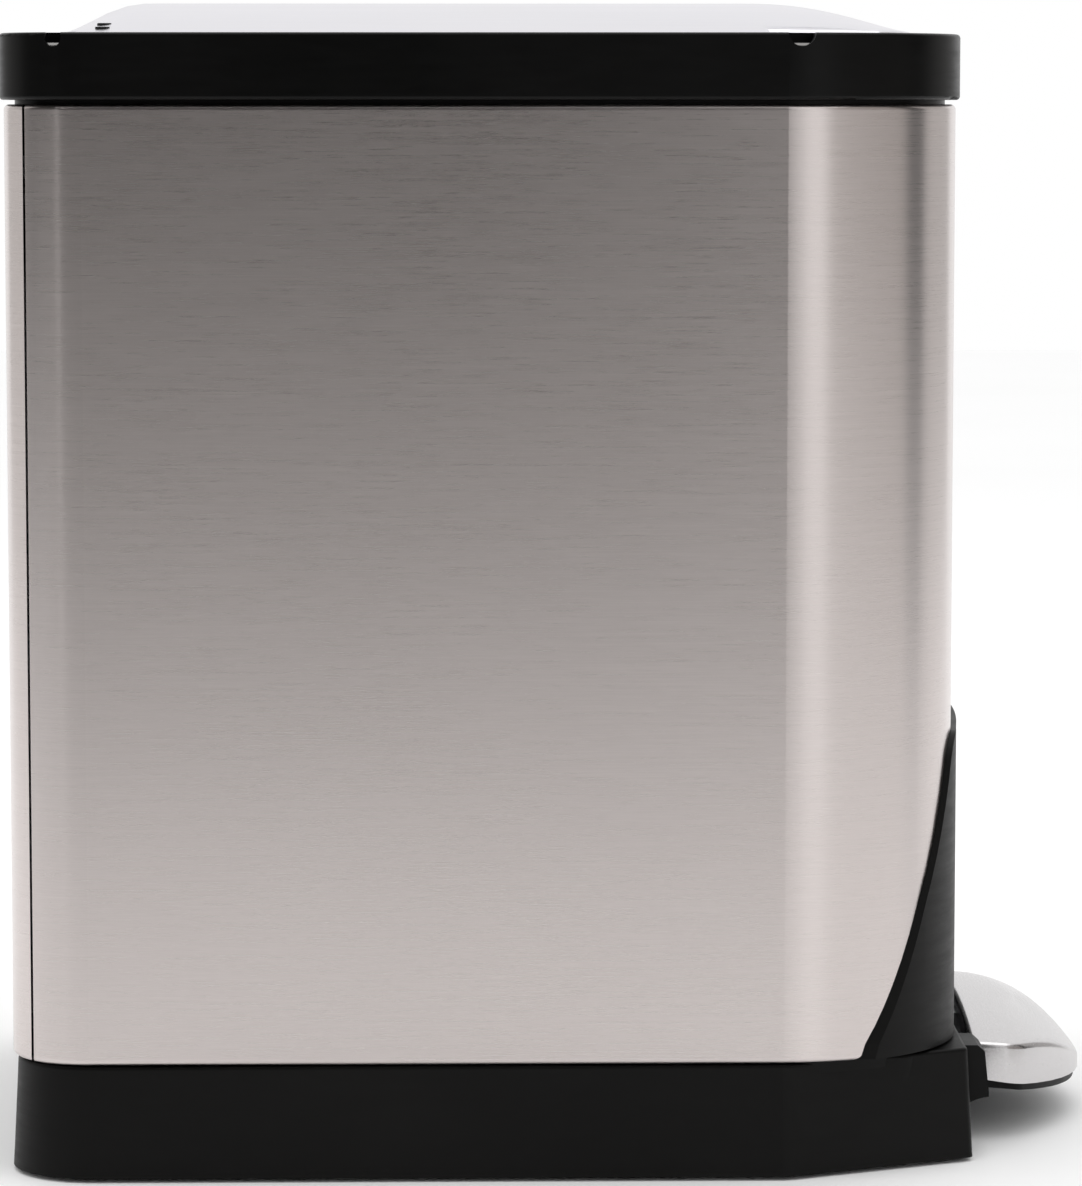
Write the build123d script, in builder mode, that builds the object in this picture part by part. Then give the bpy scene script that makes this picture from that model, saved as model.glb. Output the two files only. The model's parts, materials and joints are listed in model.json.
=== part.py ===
from build123d import *
from math import cos, radians, sin
import os

# Step-on waste bin with two lid wings, a lift-out bucket and a brushed steel body.
# Millimetres. Front (pedal) towards -Y, up is +Z, floor at Z = 0, X = 0 is the
# plane of symmetry.

os.makedirs("parts", exist_ok=True)

# Body in plan: a rounded rectangle with large front corners and small rear ones
half_width = 112.0
front_y = -110.4
rear_y = 153.6
front_radius = 50.0
rear_radius = 22.5

# Brushed steel wrap and rear panel
steel = 0.8
shell_bottom = 32.5
shell_top = 295.8
shell_lip = 2.8
shell_edge_radius = 1.5
seam_y = 147.0
seam_gap = 0.7

# Collar round the mouth
collar_bottom = 297.0
collar_top = 315.2
collar_proud = 1.2
collar_wall = 2.4
collar_edge_radius = 1.1
skirt_bottom = 282.0
pocket_floor = 306.6
pocket_gap = 1.0
ledge_thickness = 2.6
mouth_half_width = 94.7
mouth_front_y = -96.5
mouth_rear_y = 120.0

# Lid wings
hinge_x = 105.2
hinge_z = 311.0
barrel_radius = 4.0
wing_front_y = -98.6
wing_rear_y = 138.0
wing_front_radius = 42.0
wing_rear_radius = 4.0
ear_x = 98.0
ear_gap = 1.4
wing_centre_gap = 0.5
wing_crown = 9.9
wing_front_roll = 44.0
wing_rear_roll = 20.0
wing_sheet = 0.8
liner_bottom = 309.0
liner_top = 311.2
pin_radius = 1.5
pin_running_gap = 0.06
barrel_y = (-56.4, 134.2)
bore_places = (-51.4, 129.2)
front_pin_y = (-68.0, -46.4)
rear_pin_y = (124.2, 142.0)
front_notch_y = -64.0
rear_notch_y = 138.4

# Pedal, lever and the lift mechanism it drives
pivot_y = -65.0
pivot_z = 20.0
rest_pitch = 3.5
axle_radius = 3.0
lever_arm = 196.0
lever_half_width = 18.0
lever_sheet = 2.0
roller_radius = 5.0
rod_y = 131.0
rod_radius = 3.0
contact_gap = 0.3
cam_base_radius = 17.0
cam_depth = 25.74
cam_thickness = 5.0
wing_travel = 80.0
bumper_places = ((87.0, -88.2), (40.0, 129.5))
plug_places = (96.0, 88.0)
plug_y = 126.0

# Base
base_bottom = 1.0
base_top = 32.0
base_half_width = 112.6
base_rear_y = 153.9
base_front_y = -115.3
base_front_half = 88.0
base_chamfer_y = -62.0
base_draft = 1.6
base_wall = 3.0
plinth_top = 39.5
floor_thickness = 2.5
visor_y = -120.5
visor_inner_x = 61.5
visor_outer_x = 80.0
post_rows = (-50.0, 96.0)

# Bucket
bucket_bottom = 39.9
bucket_top = 294.0
bucket_half_width = 90.2
bucket_front_y = -92.0
bucket_rear_y = 116.0
bucket_wall = 1.8
bucket_taper = 1.0
bail_x = 92.4
bail_y = 12.0
bail_front_y = -91.6
bail_z = 296.2
bail_radius = 1.5

# Grip plate at the back
grip_half_width = 52.0
grip_bottom = 245.0
grip_top = 276.0
grip_depth = 16.5

# Window for the shroud in the front of the wrap, as x and z
front_window = (
    (-108.0, 28.0), (-106.5, 37.0), (-94.5, 74.0), (-76.0, 120.0),
    (76.0, 120.0), (94.5, 74.0), (106.5, 37.0), (108.0, 28.0),
)


def plan_face(height, side, front, rear, radius_front, radius_rear):
    """Rounded rectangle in plan, with its own front and rear corner radii."""
    with BuildSketch(Plane.XY.offset(height)) as face:
        with BuildLine():
            FilletPolyline(
                (side, rear), (-side, rear), (-side, front), (side, front),
                radius=(radius_rear, radius_rear, radius_front, radius_front), close=True,
            )
        make_face()
    return face.sketch


def body_face(height, inset):
    """The body's plan outline, moved inwards by inset."""
    return plan_face(
        height, half_width - inset, front_y + inset, rear_y - inset,
        front_radius - inset, rear_radius - inset,
    )


def wing_face(height, inset):
    """Outline of the two closed wings together, moved inwards by inset."""
    return plan_face(
        height, hinge_x + barrel_radius - inset, wing_front_y + inset, wing_rear_y - inset,
        wing_front_radius - inset, max(wing_rear_radius - inset, 1.0),
    )


def mouth_face(height, inset):
    """Outline of the collar's mouth, moved inwards by inset."""
    return plan_face(
        height, mouth_half_width - inset, mouth_front_y + inset, mouth_rear_y - inset,
        34.0 - inset, 12.0 - inset,
    )


def base_face(height, inset):
    """Base plan: the body outline with two long diagonal front corners."""
    side = base_half_width - inset
    rear = base_rear_y - inset
    front = base_front_y + inset
    with BuildSketch(Plane.XY.offset(height)) as face:
        with BuildLine():
            FilletPolyline(
                (side, rear), (-side, rear), (-side, base_chamfer_y),
                (-base_front_half + inset * 0.6, front), (base_front_half - inset * 0.6, front),
                (side, base_chamfer_y),
                radius=(24 - inset, 24 - inset, 9, 2.5, 2.5, 9), close=True,
            )
        make_face()
    return face.sketch


def window_face(grow):
    """Front window of the steel wrap, drawn in the X-Z plane behind which it is cut."""
    with BuildSketch(Plane.XZ) as face:
        with BuildLine():
            FilletPolyline(*front_window, radius=(0, 3, 30, 12, 12, 30, 3, 0), close=True)
        make_face()
        if grow:
            offset(amount=grow, kind=Kind.ARC)
    return face.sketch


def ear_block(side, inner_x, low_y, high_y):
    """Block that fills one corner of the wing outline outside inner_x."""
    with BuildPart() as block:
        with Locations((side * (inner_x + 15), (low_y + high_y) / 2, hinge_z)):
            Box(30, high_y - low_y, 60)
    return block.part


def ear_blocks(side, inner_x, gap):
    """Front and rear corners that stay with the collar, grown by gap towards the barrel."""
    front = ear_block(side, inner_x, wing_front_y - 30, barrel_y[0] - gap)
    rear = ear_block(side, inner_x, barrel_y[1] + gap, wing_rear_y + 30)
    return front + rear


def save(node, name):
    """Label one piece and write it as its own STEP file."""
    node.part.label = name
    export_step(node.part, f"parts/{name}.step")


# ---------------------------------------------------------------- steel wrap and rear panel

with BuildPart() as wrap_blank:
    extrude(body_face(shell_bottom, 0), amount=shell_top - shell_bottom)
    top_edges = wrap_blank.faces().sort_by(Axis.Z)[-1].edges()
    bottom_edges = wrap_blank.faces().sort_by(Axis.Z)[0].edges()
    fillet(top_edges + bottom_edges, radius=shell_edge_radius)
    extrude(
        body_face(shell_bottom + steel, steel),
        amount=shell_top - shell_bottom - 2 * steel, mode=Mode.SUBTRACT,
    )
    extrude(body_face(shell_bottom - 1, shell_lip), amount=shell_top, mode=Mode.SUBTRACT)

with BuildPart() as shell:
    add(wrap_blank.part)
    extrude(window_face(0), amount=130, mode=Mode.SUBTRACT)
    with Locations((0, seam_y - seam_gap / 2 + 20, 170)):
        Box(300, 40, 400, mode=Mode.SUBTRACT)
save(shell, "shell")

with BuildPart() as rear_panel:
    add(wrap_blank.part)
    with Locations((0, seam_y + seam_gap / 2 - 200, 170)):
        Box(300, 400, 400, mode=Mode.SUBTRACT)
    with BuildSketch(Plane.XZ.offset(-rear_y - 5)) as grip_window:
        with Locations((0, (grip_bottom + grip_top) / 2)):
            RectangleRounded(2 * grip_half_width - 12, grip_top - grip_bottom - 3, 5)
    extrude(amount=15, mode=Mode.SUBTRACT)
save(rear_panel, "rear_panel")

# ---------------------------------------------------------------- grip plate at the back

with BuildPart() as rear_grip:
    with BuildSketch(Plane.XZ.offset(-rear_y - 0.05)):
        with Locations((0, (grip_bottom + grip_top) / 2)):
            RectangleRounded(2 * grip_half_width, grip_top - grip_bottom, 7)
    extrude(amount=-1.35)
    fillet(rear_grip.faces().sort_by(Axis.Y)[-1].edges(), radius=0.6)
    with BuildSketch(Plane.XZ.offset(-rear_y - 0.05)):
        with Locations((0, (grip_bottom + grip_top) / 2)):
            RectangleRounded(2 * grip_half_width - 12.6, grip_top - grip_bottom - 3.6, 4.7)
    extrude(amount=grip_depth)
    with BuildSketch(Plane.XZ.offset(-rear_y - 3)):
        with Locations((0, (grip_bottom + grip_top) / 2)):
            RectangleRounded(2 * grip_half_width - 16, grip_top - grip_bottom - 7, 3)
    extrude(amount=grip_depth + 1.2, mode=Mode.SUBTRACT)
save(rear_grip, "rear_grip")

# ---------------------------------------------------------------- front shroud in the window

with BuildPart() as shroud_plate:
    extrude(body_face(shell_bottom + 0.2, -1.6), amount=92)
    with BuildSketch(Plane.XY.offset(shell_bottom + 0.2)):
        with BuildLine():
            ThreePointArc((-76, -109.9), (0, -116.2), (76, -109.9))
            Polyline((76, -109.9), (76, -90), (-76, -90), (-76, -109.9))
        make_face()
    extrude(amount=92)
    extrude(window_face(-0.4), amount=130, mode=Mode.INTERSECT)
    extrude(body_face(shell_bottom, 2.6), amount=100, mode=Mode.SUBTRACT)
with BuildPart() as front_shroud:
    extrude(body_face(shell_bottom + 1.2, steel + 0.25), amount=96)
    extrude(body_face(shell_bottom, 2.6), amount=110, mode=Mode.SUBTRACT)
    extrude(window_face(5), amount=130, mode=Mode.INTERSECT)
    add(shroud_plate.part)
save(front_shroud, "front_shroud")

# ---------------------------------------------------------------- collar

rim_width = hinge_x + barrel_radius + 0.8


def pocket_face(height, grow):
    """Outline of the pocket the wings close into, moved outwards by grow."""
    return plan_face(
        height, rim_width + grow, wing_front_y - pocket_gap - grow, wing_rear_y + pocket_gap + grow,
        wing_front_radius - 1.5 + grow, wing_rear_radius + pocket_gap + grow,
    )


cam_x = hinge_x - cam_base_radius
slot_low_x = 72.0
slot_high_x = hinge_x + 1.6

with BuildPart() as pocket:
    extrude(pocket_face(pocket_floor, 0), amount=20)
    for side in (-1, 1):
        add(ear_blocks(side, ear_x + ear_gap, ear_gap), mode=Mode.SUBTRACT)

with BuildPart() as under_rim:
    extrude(body_face(collar_bottom + 2.2, collar_wall - collar_proud), amount=13.2)
    extrude(pocket_face(collar_bottom, 2.0), amount=40, mode=Mode.SUBTRACT)

with BuildPart() as collar:
    extrude(body_face(collar_bottom, -collar_proud), amount=collar_top - collar_bottom)
    fillet(
        collar.faces().sort_by(Axis.Z)[-1].edges() + collar.faces().sort_by(Axis.Z)[0].edges(),
        radius=collar_edge_radius,
    )
    add(under_rim.part, mode=Mode.SUBTRACT)
    extrude(body_face(skirt_bottom, 3.0), amount=collar_bottom - skirt_bottom + 1)
    hollow_height = pocket_floor - ledge_thickness - skirt_bottom + 1
    extrude(body_face(skirt_bottom - 1, 5.0), amount=hollow_height, mode=Mode.SUBTRACT)
    add(pocket.part, mode=Mode.SUBTRACT)
    extrude(mouth_face(skirt_bottom, 0), amount=60, mode=Mode.SUBTRACT)
    for side in (-1, 1):
        with Locations(Location((side * (hinge_x + 5), front_notch_y, collar_top), (0, 90, 0))):
            Cylinder(3.7, 14, mode=Mode.SUBTRACT)
        with Locations(Location((side * (hinge_x + 5), rear_notch_y, 313.6), (0, 90, 0))):
            Cylinder(2.2, 14, mode=Mode.SUBTRACT)
        with Locations((side * (hinge_x + 5), rear_notch_y, 315.6)):
            Box(14, 4.4, 4, mode=Mode.SUBTRACT)
        for pin_low, pin_high in (front_pin_y, rear_pin_y):
            with Locations(Location((side * hinge_x, (pin_low + pin_high) / 2, hinge_z), (90, 0, 0))):
                Cylinder(pin_radius + 0.03, pin_high - pin_low + 0.2, mode=Mode.SUBTRACT)
        with Locations((side * (slot_low_x + slot_high_x) / 2, rod_y - 0.1, pocket_floor)):
            Box(slot_high_x - slot_low_x, 8.8, 20, mode=Mode.SUBTRACT)
        for bumper_x, bumper_y in bumper_places:
            with Locations((side * bumper_x, bumper_y, pocket_floor)):
                Cylinder(1.3, 10, mode=Mode.SUBTRACT)
save(collar, "collar")

# ---------------------------------------------------------------- rubber lid bumpers

for side, side_name in ((-1, "left"), (1, "right")):
    for (bumper_x, bumper_y), end_name in zip(bumper_places, ("front", "rear")):
        with BuildPart() as bumper:
            with Locations((side * bumper_x, bumper_y, pocket_floor + 1.1)):
                Cylinder(2.4, 2.2)
            fillet(bumper.faces().sort_by(Axis.Z)[-1].edges(), radius=0.8)
            with Locations((side * bumper_x, bumper_y, pocket_floor - 1.4)):
                Cylinder(1.25, 2.8)
        save(bumper, f"lid_bumper_{end_name}_{side_name}")

# ---------------------------------------------------------------- hinge pins

for side, side_name in ((-1, "left"), (1, "right")):
    for (pin_low, pin_high), end_name in ((front_pin_y, "front"), (rear_pin_y, "rear")):
        with BuildPart() as hinge_pin:
            pin_place = Location((side * hinge_x, (pin_low + pin_high) / 2, hinge_z), (90, 0, 0))
            with Locations(pin_place):
                Cylinder(pin_radius, pin_high - pin_low)
            chamfer(hinge_pin.edges().filter_by(GeomType.CIRCLE), length=0.3)
        save(hinge_pin, f"hinge_pin_{end_name}_{side_name}")

# ---------------------------------------------------------------- lid wings


def crown_height(x, y):
    """Height of the closed lid's outer skin: arched across, rolled off at both ends."""
    across = 1 - (min(abs(x), hinge_x + 12) / hinge_x) ** 2
    front_roll = max(0.0, (wing_front_y + wing_front_roll - y) / wing_front_roll)
    rear_roll = max(0.0, (y - wing_rear_y + wing_rear_roll) / wing_rear_roll)
    along = 1 - min(front_roll, 1.3) ** 2.2 - min(rear_roll, 1.3) ** 2.2
    edge = hinge_z + barrel_radius + 0.07
    return edge + wing_crown * (across * along if across > 0 else across)


def dome_part(inset, drop):
    """Solid under the lid's crowned skin, inset in plan and dropped in height."""
    span = hinge_x + 8
    low_y = wing_front_y - 3
    high_y = wing_rear_y + 3
    rows = 33
    columns = 25
    grid = [
        [
            (
                -span + 2 * span * i / (columns - 1),
                low_y + (high_y - low_y) * j / (rows - 1),
                crown_height(
                    -span + 2 * span * i / (columns - 1),
                    low_y + (high_y - low_y) * j / (rows - 1),
                ) - drop,
            )
            for i in range(columns)
        ]
        for j in range(rows)
    ]
    skin = Face.make_surface_from_array_of_points(grid, tol=0.02)
    with BuildPart() as dome:
        extrude(skin, amount=-30, dir=(0, 0, 1))
        extrude(wing_face(hinge_z, inset), amount=30, mode=Mode.INTERSECT)
    return dome.part


def cam_point(turn):
    """Point of the cam's involute edge that touches the crosshead after a turn."""
    height = -cam_depth + cam_base_radius * turn
    x = -cam_base_radius * cos(turn) - height * sin(turn)
    z = -cam_base_radius * sin(turn) + height * cos(turn)
    return x, z


outer_dome = dome_part(0, 0)

with BuildPart() as inner_dome:
    add(dome_part(wing_sheet, wing_sheet))
    with Locations((0, 0, hinge_z)):
        Box(2 * (wing_centre_gap + wing_sheet), 400, 60, mode=Mode.SUBTRACT)
    for side in (-1, 1):
        add(ear_blocks(side, ear_x - wing_sheet, -wing_sheet), mode=Mode.SUBTRACT)
hollow_dome = inner_dome.part

for side, side_name in ((-1, "left"), (1, "right")):
    with BuildPart() as lid_wing:
        add(outer_dome)
        rim_edges = lid_wing.faces().sort_by(Axis.Z)[-1].edges()
        fillet(rim_edges, radius=2.4)
        add(ear_blocks(side, ear_x, 0), mode=Mode.SUBTRACT)
        add(hollow_dome, mode=Mode.SUBTRACT)
        with Locations((-side * (200 - wing_centre_gap), 0, hinge_z)):
            Box(400, 400, 60, mode=Mode.SUBTRACT)
        for plug_x in plug_places:
            with Locations((side * plug_x, plug_y, hinge_z)):
                Cylinder(2.1, 40, mode=Mode.SUBTRACT)
        for bore_y in bore_places:
            with Locations(Location((side * hinge_x, bore_y, hinge_z), (90, 0, 0))):
                Cylinder(pin_radius + pin_running_gap, 12, mode=Mode.SUBTRACT)
    save(lid_wing, f"lid_wing_{side_name}")

    with BuildPart() as lid_liner:
        extrude(wing_face(liner_bottom, wing_sheet + 0.3), amount=liner_top - liner_bottom)
        extrude(wing_face(liner_top, 2.2), amount=1.6)
        extrude(wing_face(liner_top, 4.4), amount=5, mode=Mode.SUBTRACT)
        extrude(wing_face(liner_bottom - 1, 13.0), amount=1.7, mode=Mode.SUBTRACT)
        with Locations((-side * 200 + side * (wing_centre_gap + 1.0), 0, hinge_z)):
            Box(400, 400, 60, mode=Mode.SUBTRACT)
        with Locations((side * (hinge_x + 10), 0, hinge_z)):
            Box(20, 400, 60, mode=Mode.SUBTRACT)
        for rib_y in (-40.0, 20.0, 80.0):
            with Locations((side * 50, rib_y, liner_top + 1.0)):
                Box(90, 1.6, 2.4)
        with Locations(Location((side * hinge_x, sum(barrel_y) / 2, hinge_z), (90, 0, 0))):
            Cylinder(3.1, barrel_y[1] - barrel_y[0])
        with BuildSketch(Plane.XZ.offset(-rod_y - cam_thickness / 2)):
            with BuildLine():
                edge_points = [cam_point(radians(wing_travel) * i / 12) for i in range(13)]
                place = [(side * (hinge_x + x), hinge_z + z) for x, z in edge_points]
                Spline(*place)
                Polyline(
                    place[-1],
                    (side * (hinge_x + 0.3), hinge_z - 10),
                    (side * (hinge_x + 0.6), hinge_z - 1),
                    (side * (hinge_x - 28), hinge_z - 1),
                    (side * (hinge_x - 25), hinge_z - 9),
                    (side * (hinge_x - 19.5), hinge_z - 24.9),
                    place[0],
                )
            make_face()
        extrude(amount=cam_thickness)
        for bore_y in bore_places:
            with Locations(Location((side * hinge_x, bore_y, hinge_z), (90, 0, 0))):
                Cylinder(pin_radius + pin_running_gap, 12, mode=Mode.SUBTRACT)
        add(ear_blocks(side, ear_x - wing_sheet - 0.3, -0.6), mode=Mode.SUBTRACT)
    save(lid_liner, f"lid_liner_{side_name}")

    with BuildPart() as lid_plugs:
        for plug_x in plug_places:
            plug_top = crown_height(plug_x, plug_y) + 0.35
            with Locations((side * plug_x, plug_y, (liner_top + plug_top) / 2)):
                Cylinder(2.0, plug_top - liner_top)
        fillet(lid_plugs.edges().group_by(Axis.Z)[-1], radius=0.3)
    save(lid_plugs, f"lid_plugs_{side_name}")

# ---------------------------------------------------------------- base

with BuildPart() as base:
    loft([base_face(base_bottom, 0), base_face(base_top, base_draft)])
    fillet(base.faces().sort_by(Axis.Z)[-1].edges(), radius=1.0)
    extrude(
        base_face(base_bottom - 1, base_wall + base_draft / 2),
        amount=base_top - 2.5 - base_bottom + 1, mode=Mode.SUBTRACT,
    )
    extrude(body_face(base_top - 3, 3.4), amount=plinth_top - base_top + 3)
    extrude(body_face(base_top - 4, 5.4), amount=20, mode=Mode.SUBTRACT)
    for side in (-1, 1):
        visor_mid = side * (visor_inner_x + visor_outer_x) / 2
        with BuildSketch(Plane.YZ.offset(visor_mid)):
            with BuildLine():
                Polyline(
                    (base_front_y + 4, 12.0), (base_front_y + 4, 31.4),
                    (visor_y + 3.2, 31.4), (visor_y + 1.2, 29.6), (visor_y, 18.0), (visor_y, 16.6),
                )
                RadiusArc((visor_y, 16.6), (base_front_y + 4, 12.0), 14)
            make_face()
        extrude(amount=(visor_outer_x - visor_inner_x) / 2, both=True)
    with Locations((0, base_front_y, 18.5)):
        Box(2 * lever_half_width + 5, 16, 21, mode=Mode.SUBTRACT)
    for side in (-1, 1):
        for post_y in post_rows:
            with Locations((side * 101.5, post_y, (plinth_top - floor_thickness + 6) / 2)):
                Cylinder(6.2, plinth_top - floor_thickness - 6)
            with Locations((side * 100.5, post_y, plinth_top - floor_thickness - 5)):
                Cylinder(1.25, 12, mode=Mode.SUBTRACT)
        for foot_x, foot_y in ((85.0, -90.0), (97.5, 124.0)):
            with Locations((side * foot_x, foot_y, (base_bottom + base_top - 1) / 2)):
                Cylinder(12.2, base_top - 1 - base_bottom)
            with Locations((side * foot_x, foot_y, base_bottom)):
                Cylinder(9.1, 6, mode=Mode.SUBTRACT)
            with Locations((side * foot_x, foot_y, base_bottom + 15)):
                Cylinder(9.9, 24, mode=Mode.SUBTRACT)
            with Locations((side * foot_x, foot_y, base_bottom + 4.0)):
                Cylinder(11.0, 2.0)
            with Locations((side * foot_x, foot_y, base_bottom + 4.0)):
                Cylinder(1.55, 6.0, mode=Mode.SUBTRACT)
save(base, "base")

# ---------------------------------------------------------------- rubber feet

for side, side_name in ((-1, "left"), (1, "right")):
    for foot_x, foot_y, end_name in ((85.0, -90.0, "front"), (97.5, 124.0, "rear")):
        with BuildPart() as foot:
            with Locations((side * foot_x, foot_y, 1.95)):
                Cylinder(8.9, 3.9)
            fillet(foot.faces().sort_by(Axis.Z)[0].edges(), radius=0.7)
            with Locations((side * foot_x, foot_y, 5.0)):
                Cylinder(1.5, 2.4)
        save(foot, f"foot_{end_name}_{side_name}")

# ---------------------------------------------------------------- floor plate and its screws

with BuildPart() as floor_plate:
    extrude(body_face(plinth_top - floor_thickness, 5.7), amount=floor_thickness)
    with Locations((0, rod_y - 5, plinth_top)):
        Box(42, 36, 20, mode=Mode.SUBTRACT)
    for side in (-1, 1):
        for post_y in post_rows:
            with Locations((side * 100.5, post_y, plinth_top)):
                CounterSinkHole(radius=1.8, counter_sink_radius=3.6, counter_sink_angle=90)
    for bolt_x in (-31.0, 31.0):
        for bolt_y in (pivot_y - 8, pivot_y + 8):
            with Locations((bolt_x, bolt_y, plinth_top)):
                CounterSinkHole(radius=1.8, counter_sink_radius=3.4, counter_sink_angle=90)
    with Locations((0, -98.0, plinth_top)):
        Cylinder(2.1, 20, mode=Mode.SUBTRACT)
save(floor_plate, "floor_plate")

with BuildPart() as floor_screws:
    for side in (-1, 1):
        for post_y in post_rows:
            with Locations((side * 100.5, post_y, plinth_top - 0.9 - 0.2)):
                Cone(1.55, 3.3, 1.8)
            with Locations((side * 100.5, post_y, plinth_top - 6.9)):
                Cylinder(1.2, 10.2)
            with Locations((side * 100.5, post_y, plinth_top)):
                Box(3.6, 0.7, 1.6, mode=Mode.SUBTRACT)
                Box(0.7, 3.6, 1.6, mode=Mode.SUBTRACT)
save(floor_screws, "floor_screws")

# ---------------------------------------------------------------- axle, brackets and bushes

for side, side_name in ((-1, "left"), (1, "right")):
    with BuildPart() as bracket:
        with BuildSketch(Plane.YZ.offset(side * 24.0)):
            with Locations((pivot_y, (pivot_z + plinth_top - floor_thickness) / 2 - 0.2)):
                Rectangle(26, plinth_top - floor_thickness - pivot_z - 0.4)
            with Locations((pivot_y, pivot_z)):
                Circle(9)
                Circle(axle_radius + 0.03, mode=Mode.SUBTRACT)
        extrude(amount=side * 2.0)
        with Locations((side * 30.0, pivot_y, plinth_top - floor_thickness - 1.2)):
            Box(12, 26, 2.0)
        for bolt_y in (pivot_y - 8, pivot_y + 8):
            with Locations((side * 31.0, bolt_y, 30)):
                Cylinder(1.5, 40, mode=Mode.SUBTRACT)
    save(bracket, f"axle_bracket_{side_name}")

    with BuildPart() as bush:
        with Locations(Location((side * 21.05, pivot_y, pivot_z), (0, 90, 0))):
            Cylinder(6.0, 5.3)
            Cylinder(axle_radius + 0.05, 20, mode=Mode.SUBTRACT)
    save(bush, f"axle_bush_{side_name}")

with BuildPart() as bracket_screws:
    for bolt_x in (-31.0, 31.0):
        for bolt_y in (pivot_y - 8, pivot_y + 8):
            with Locations((bolt_x, bolt_y, plinth_top - 1.1)):
                Cone(1.35, 2.9, 1.7)
            with Locations((bolt_x, bolt_y, plinth_top - 6.0)):
                Cylinder(1.4, 8.6)
            with Locations((bolt_x, bolt_y, plinth_top)):
                Box(3.4, 0.7, 1.6, mode=Mode.SUBTRACT)
                Box(0.7, 3.4, 1.6, mode=Mode.SUBTRACT)
save(bracket_screws, "bracket_screws")

with BuildPart() as axle:
    with Locations(Location((0, pivot_y, pivot_z), (0, 90, 0))):
        Cylinder(axle_radius, 56)
    chamfer(axle.edges().filter_by(GeomType.CIRCLE), length=0.5)
save(axle, "axle")

# ---------------------------------------------------------------- lever and roller

pitch = radians(rest_pitch)
lever_plane = Plane(origin=(0, pivot_y, pivot_z), x_dir=(1, 0, 0), z_dir=(0, sin(pitch), cos(pitch)))
lever_side = Plane(origin=(0, pivot_y, pivot_z), x_dir=(0, cos(pitch), -sin(pitch)), z_dir=(1, 0, 0))
lever_front = -66.0
web_end = lever_arm - 10.0

with BuildPart() as pedal_lever:
    with BuildSketch(lever_plane.offset(4.0)):
        with Locations(((0, (lever_front + web_end) / 2))):
            Rectangle(2 * lever_half_width, web_end - lever_front)
        with Locations((0, 20), (0, 70), (0, 120)):
            SlotOverall(30, 12, rotation=90, mode=Mode.SUBTRACT)
    extrude(amount=lever_sheet)
    for side in (-1, 1):
        with BuildSketch(lever_side.offset(side * (lever_half_width - lever_sheet / 2))):
            with BuildLine():
                Polyline(
                    (lever_front, 6), (web_end, 6), (lever_arm + 6, 4), (lever_arm + 6, -5),
                    (20, -5), (8, -7), (-8, -7), (-20, -5), (lever_front, -5), (lever_front, 6),
                )
            make_face()
        extrude(amount=lever_sheet / 2, both=True)
    with BuildSketch(lever_side.offset(-40)):
        Circle(axle_radius + 0.06)
        with Locations((lever_arm, 0)):
            Circle(2.03)
    extrude(amount=80, mode=Mode.SUBTRACT)
save(pedal_lever, "pedal_lever")

with BuildPart() as lever_roller:
    with BuildSketch(lever_side.offset(-7)):
        with Locations((lever_arm, 0)):
            Circle(roller_radius)
            Circle(2.1, mode=Mode.SUBTRACT)
    extrude(amount=14)
save(lever_roller, "lever_roller")

with BuildPart() as roller_pin:
    with BuildSketch(lever_side.offset(-20)):
        with Locations((lever_arm, 0)):
            Circle(2.0)
    extrude(amount=40)
save(roller_pin, "roller_pin")

# ---------------------------------------------------------------- pedal

pedal_back_y = -117.5
pedal_nose_y = -155.0
pedal_half_width = 59.0


def pedal_face(height, inset):
    """Pedal plan: straight back, short sides and a bowed front edge."""
    side = pedal_half_width - inset
    with BuildSketch(Plane.XY.offset(height)) as face:
        with BuildLine():
            Polyline(
                (side, -131), (side, pedal_back_y - inset),
                (-side, pedal_back_y - inset), (-side, -131),
            )
            ThreePointArc((-side, -131), (0, pedal_nose_y + inset), (side, -131))
        make_face()
        fillet(face.vertices().group_by(Axis.Y)[0], radius=7 - inset)
        fillet(face.vertices().group_by(Axis.Y)[-1], radius=3 - inset / 2)
    return face.sketch


def tread_height(x, y):
    """Height of the pedal's crowned tread."""
    ahead = max(0.0, (-119.0 - y) / 37.0)
    across = 20.3 - 6.5 * (x / pedal_half_width) ** 2
    return 14.2 + across * (1 - min(ahead, 1.2) ** 2.3)


def tread_part(inset, drop, under):
    """Solid under the crowned tread, cut off below by a plane that falls to the nose."""
    rows = 21
    columns = 17
    grid = [
        [
            (
                -66 + 132 * i / (columns - 1),
                -160 + 46 * j / (rows - 1),
                tread_height(
                    -66 + 132 * i / (columns - 1),
                    -160 + 46 * j / (rows - 1),
                ) - drop,
            )
            for i in range(columns)
        ]
        for j in range(rows)
    ]
    skin = Face.make_surface_from_array_of_points(grid, tol=0.02)
    with BuildPart() as tread:
        extrude(skin, amount=-45, dir=(0, 0, 1))
        extrude(pedal_face(0, inset), amount=60, mode=Mode.INTERSECT)
        with BuildSketch(Plane.YZ.offset(-70)):
            with BuildLine():
                Polyline(
                    (-170, -40), (-100, -40), (-100, 19.6 - under), (-130, 16.8 - under),
                    (-170, 9.5 - under), (-170, -40),
                )
            make_face()
        extrude(amount=140, mode=Mode.SUBTRACT)
    return tread.part


with BuildPart() as pedal_tread:
    add(tread_part(0, 0, 0))
    crest = pedal_tread.faces().sort_by(Axis.Z)[-1].edges()
    fillet(crest, radius=1.0)
    add(tread_part(1.2, 1.2, 10), mode=Mode.SUBTRACT)
    with Locations((0, pedal_back_y, 20)):
        Box(2 * lever_half_width + 1.4, 4, 20.6, mode=Mode.SUBTRACT)
save(pedal_tread, "pedal_tread")

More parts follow.
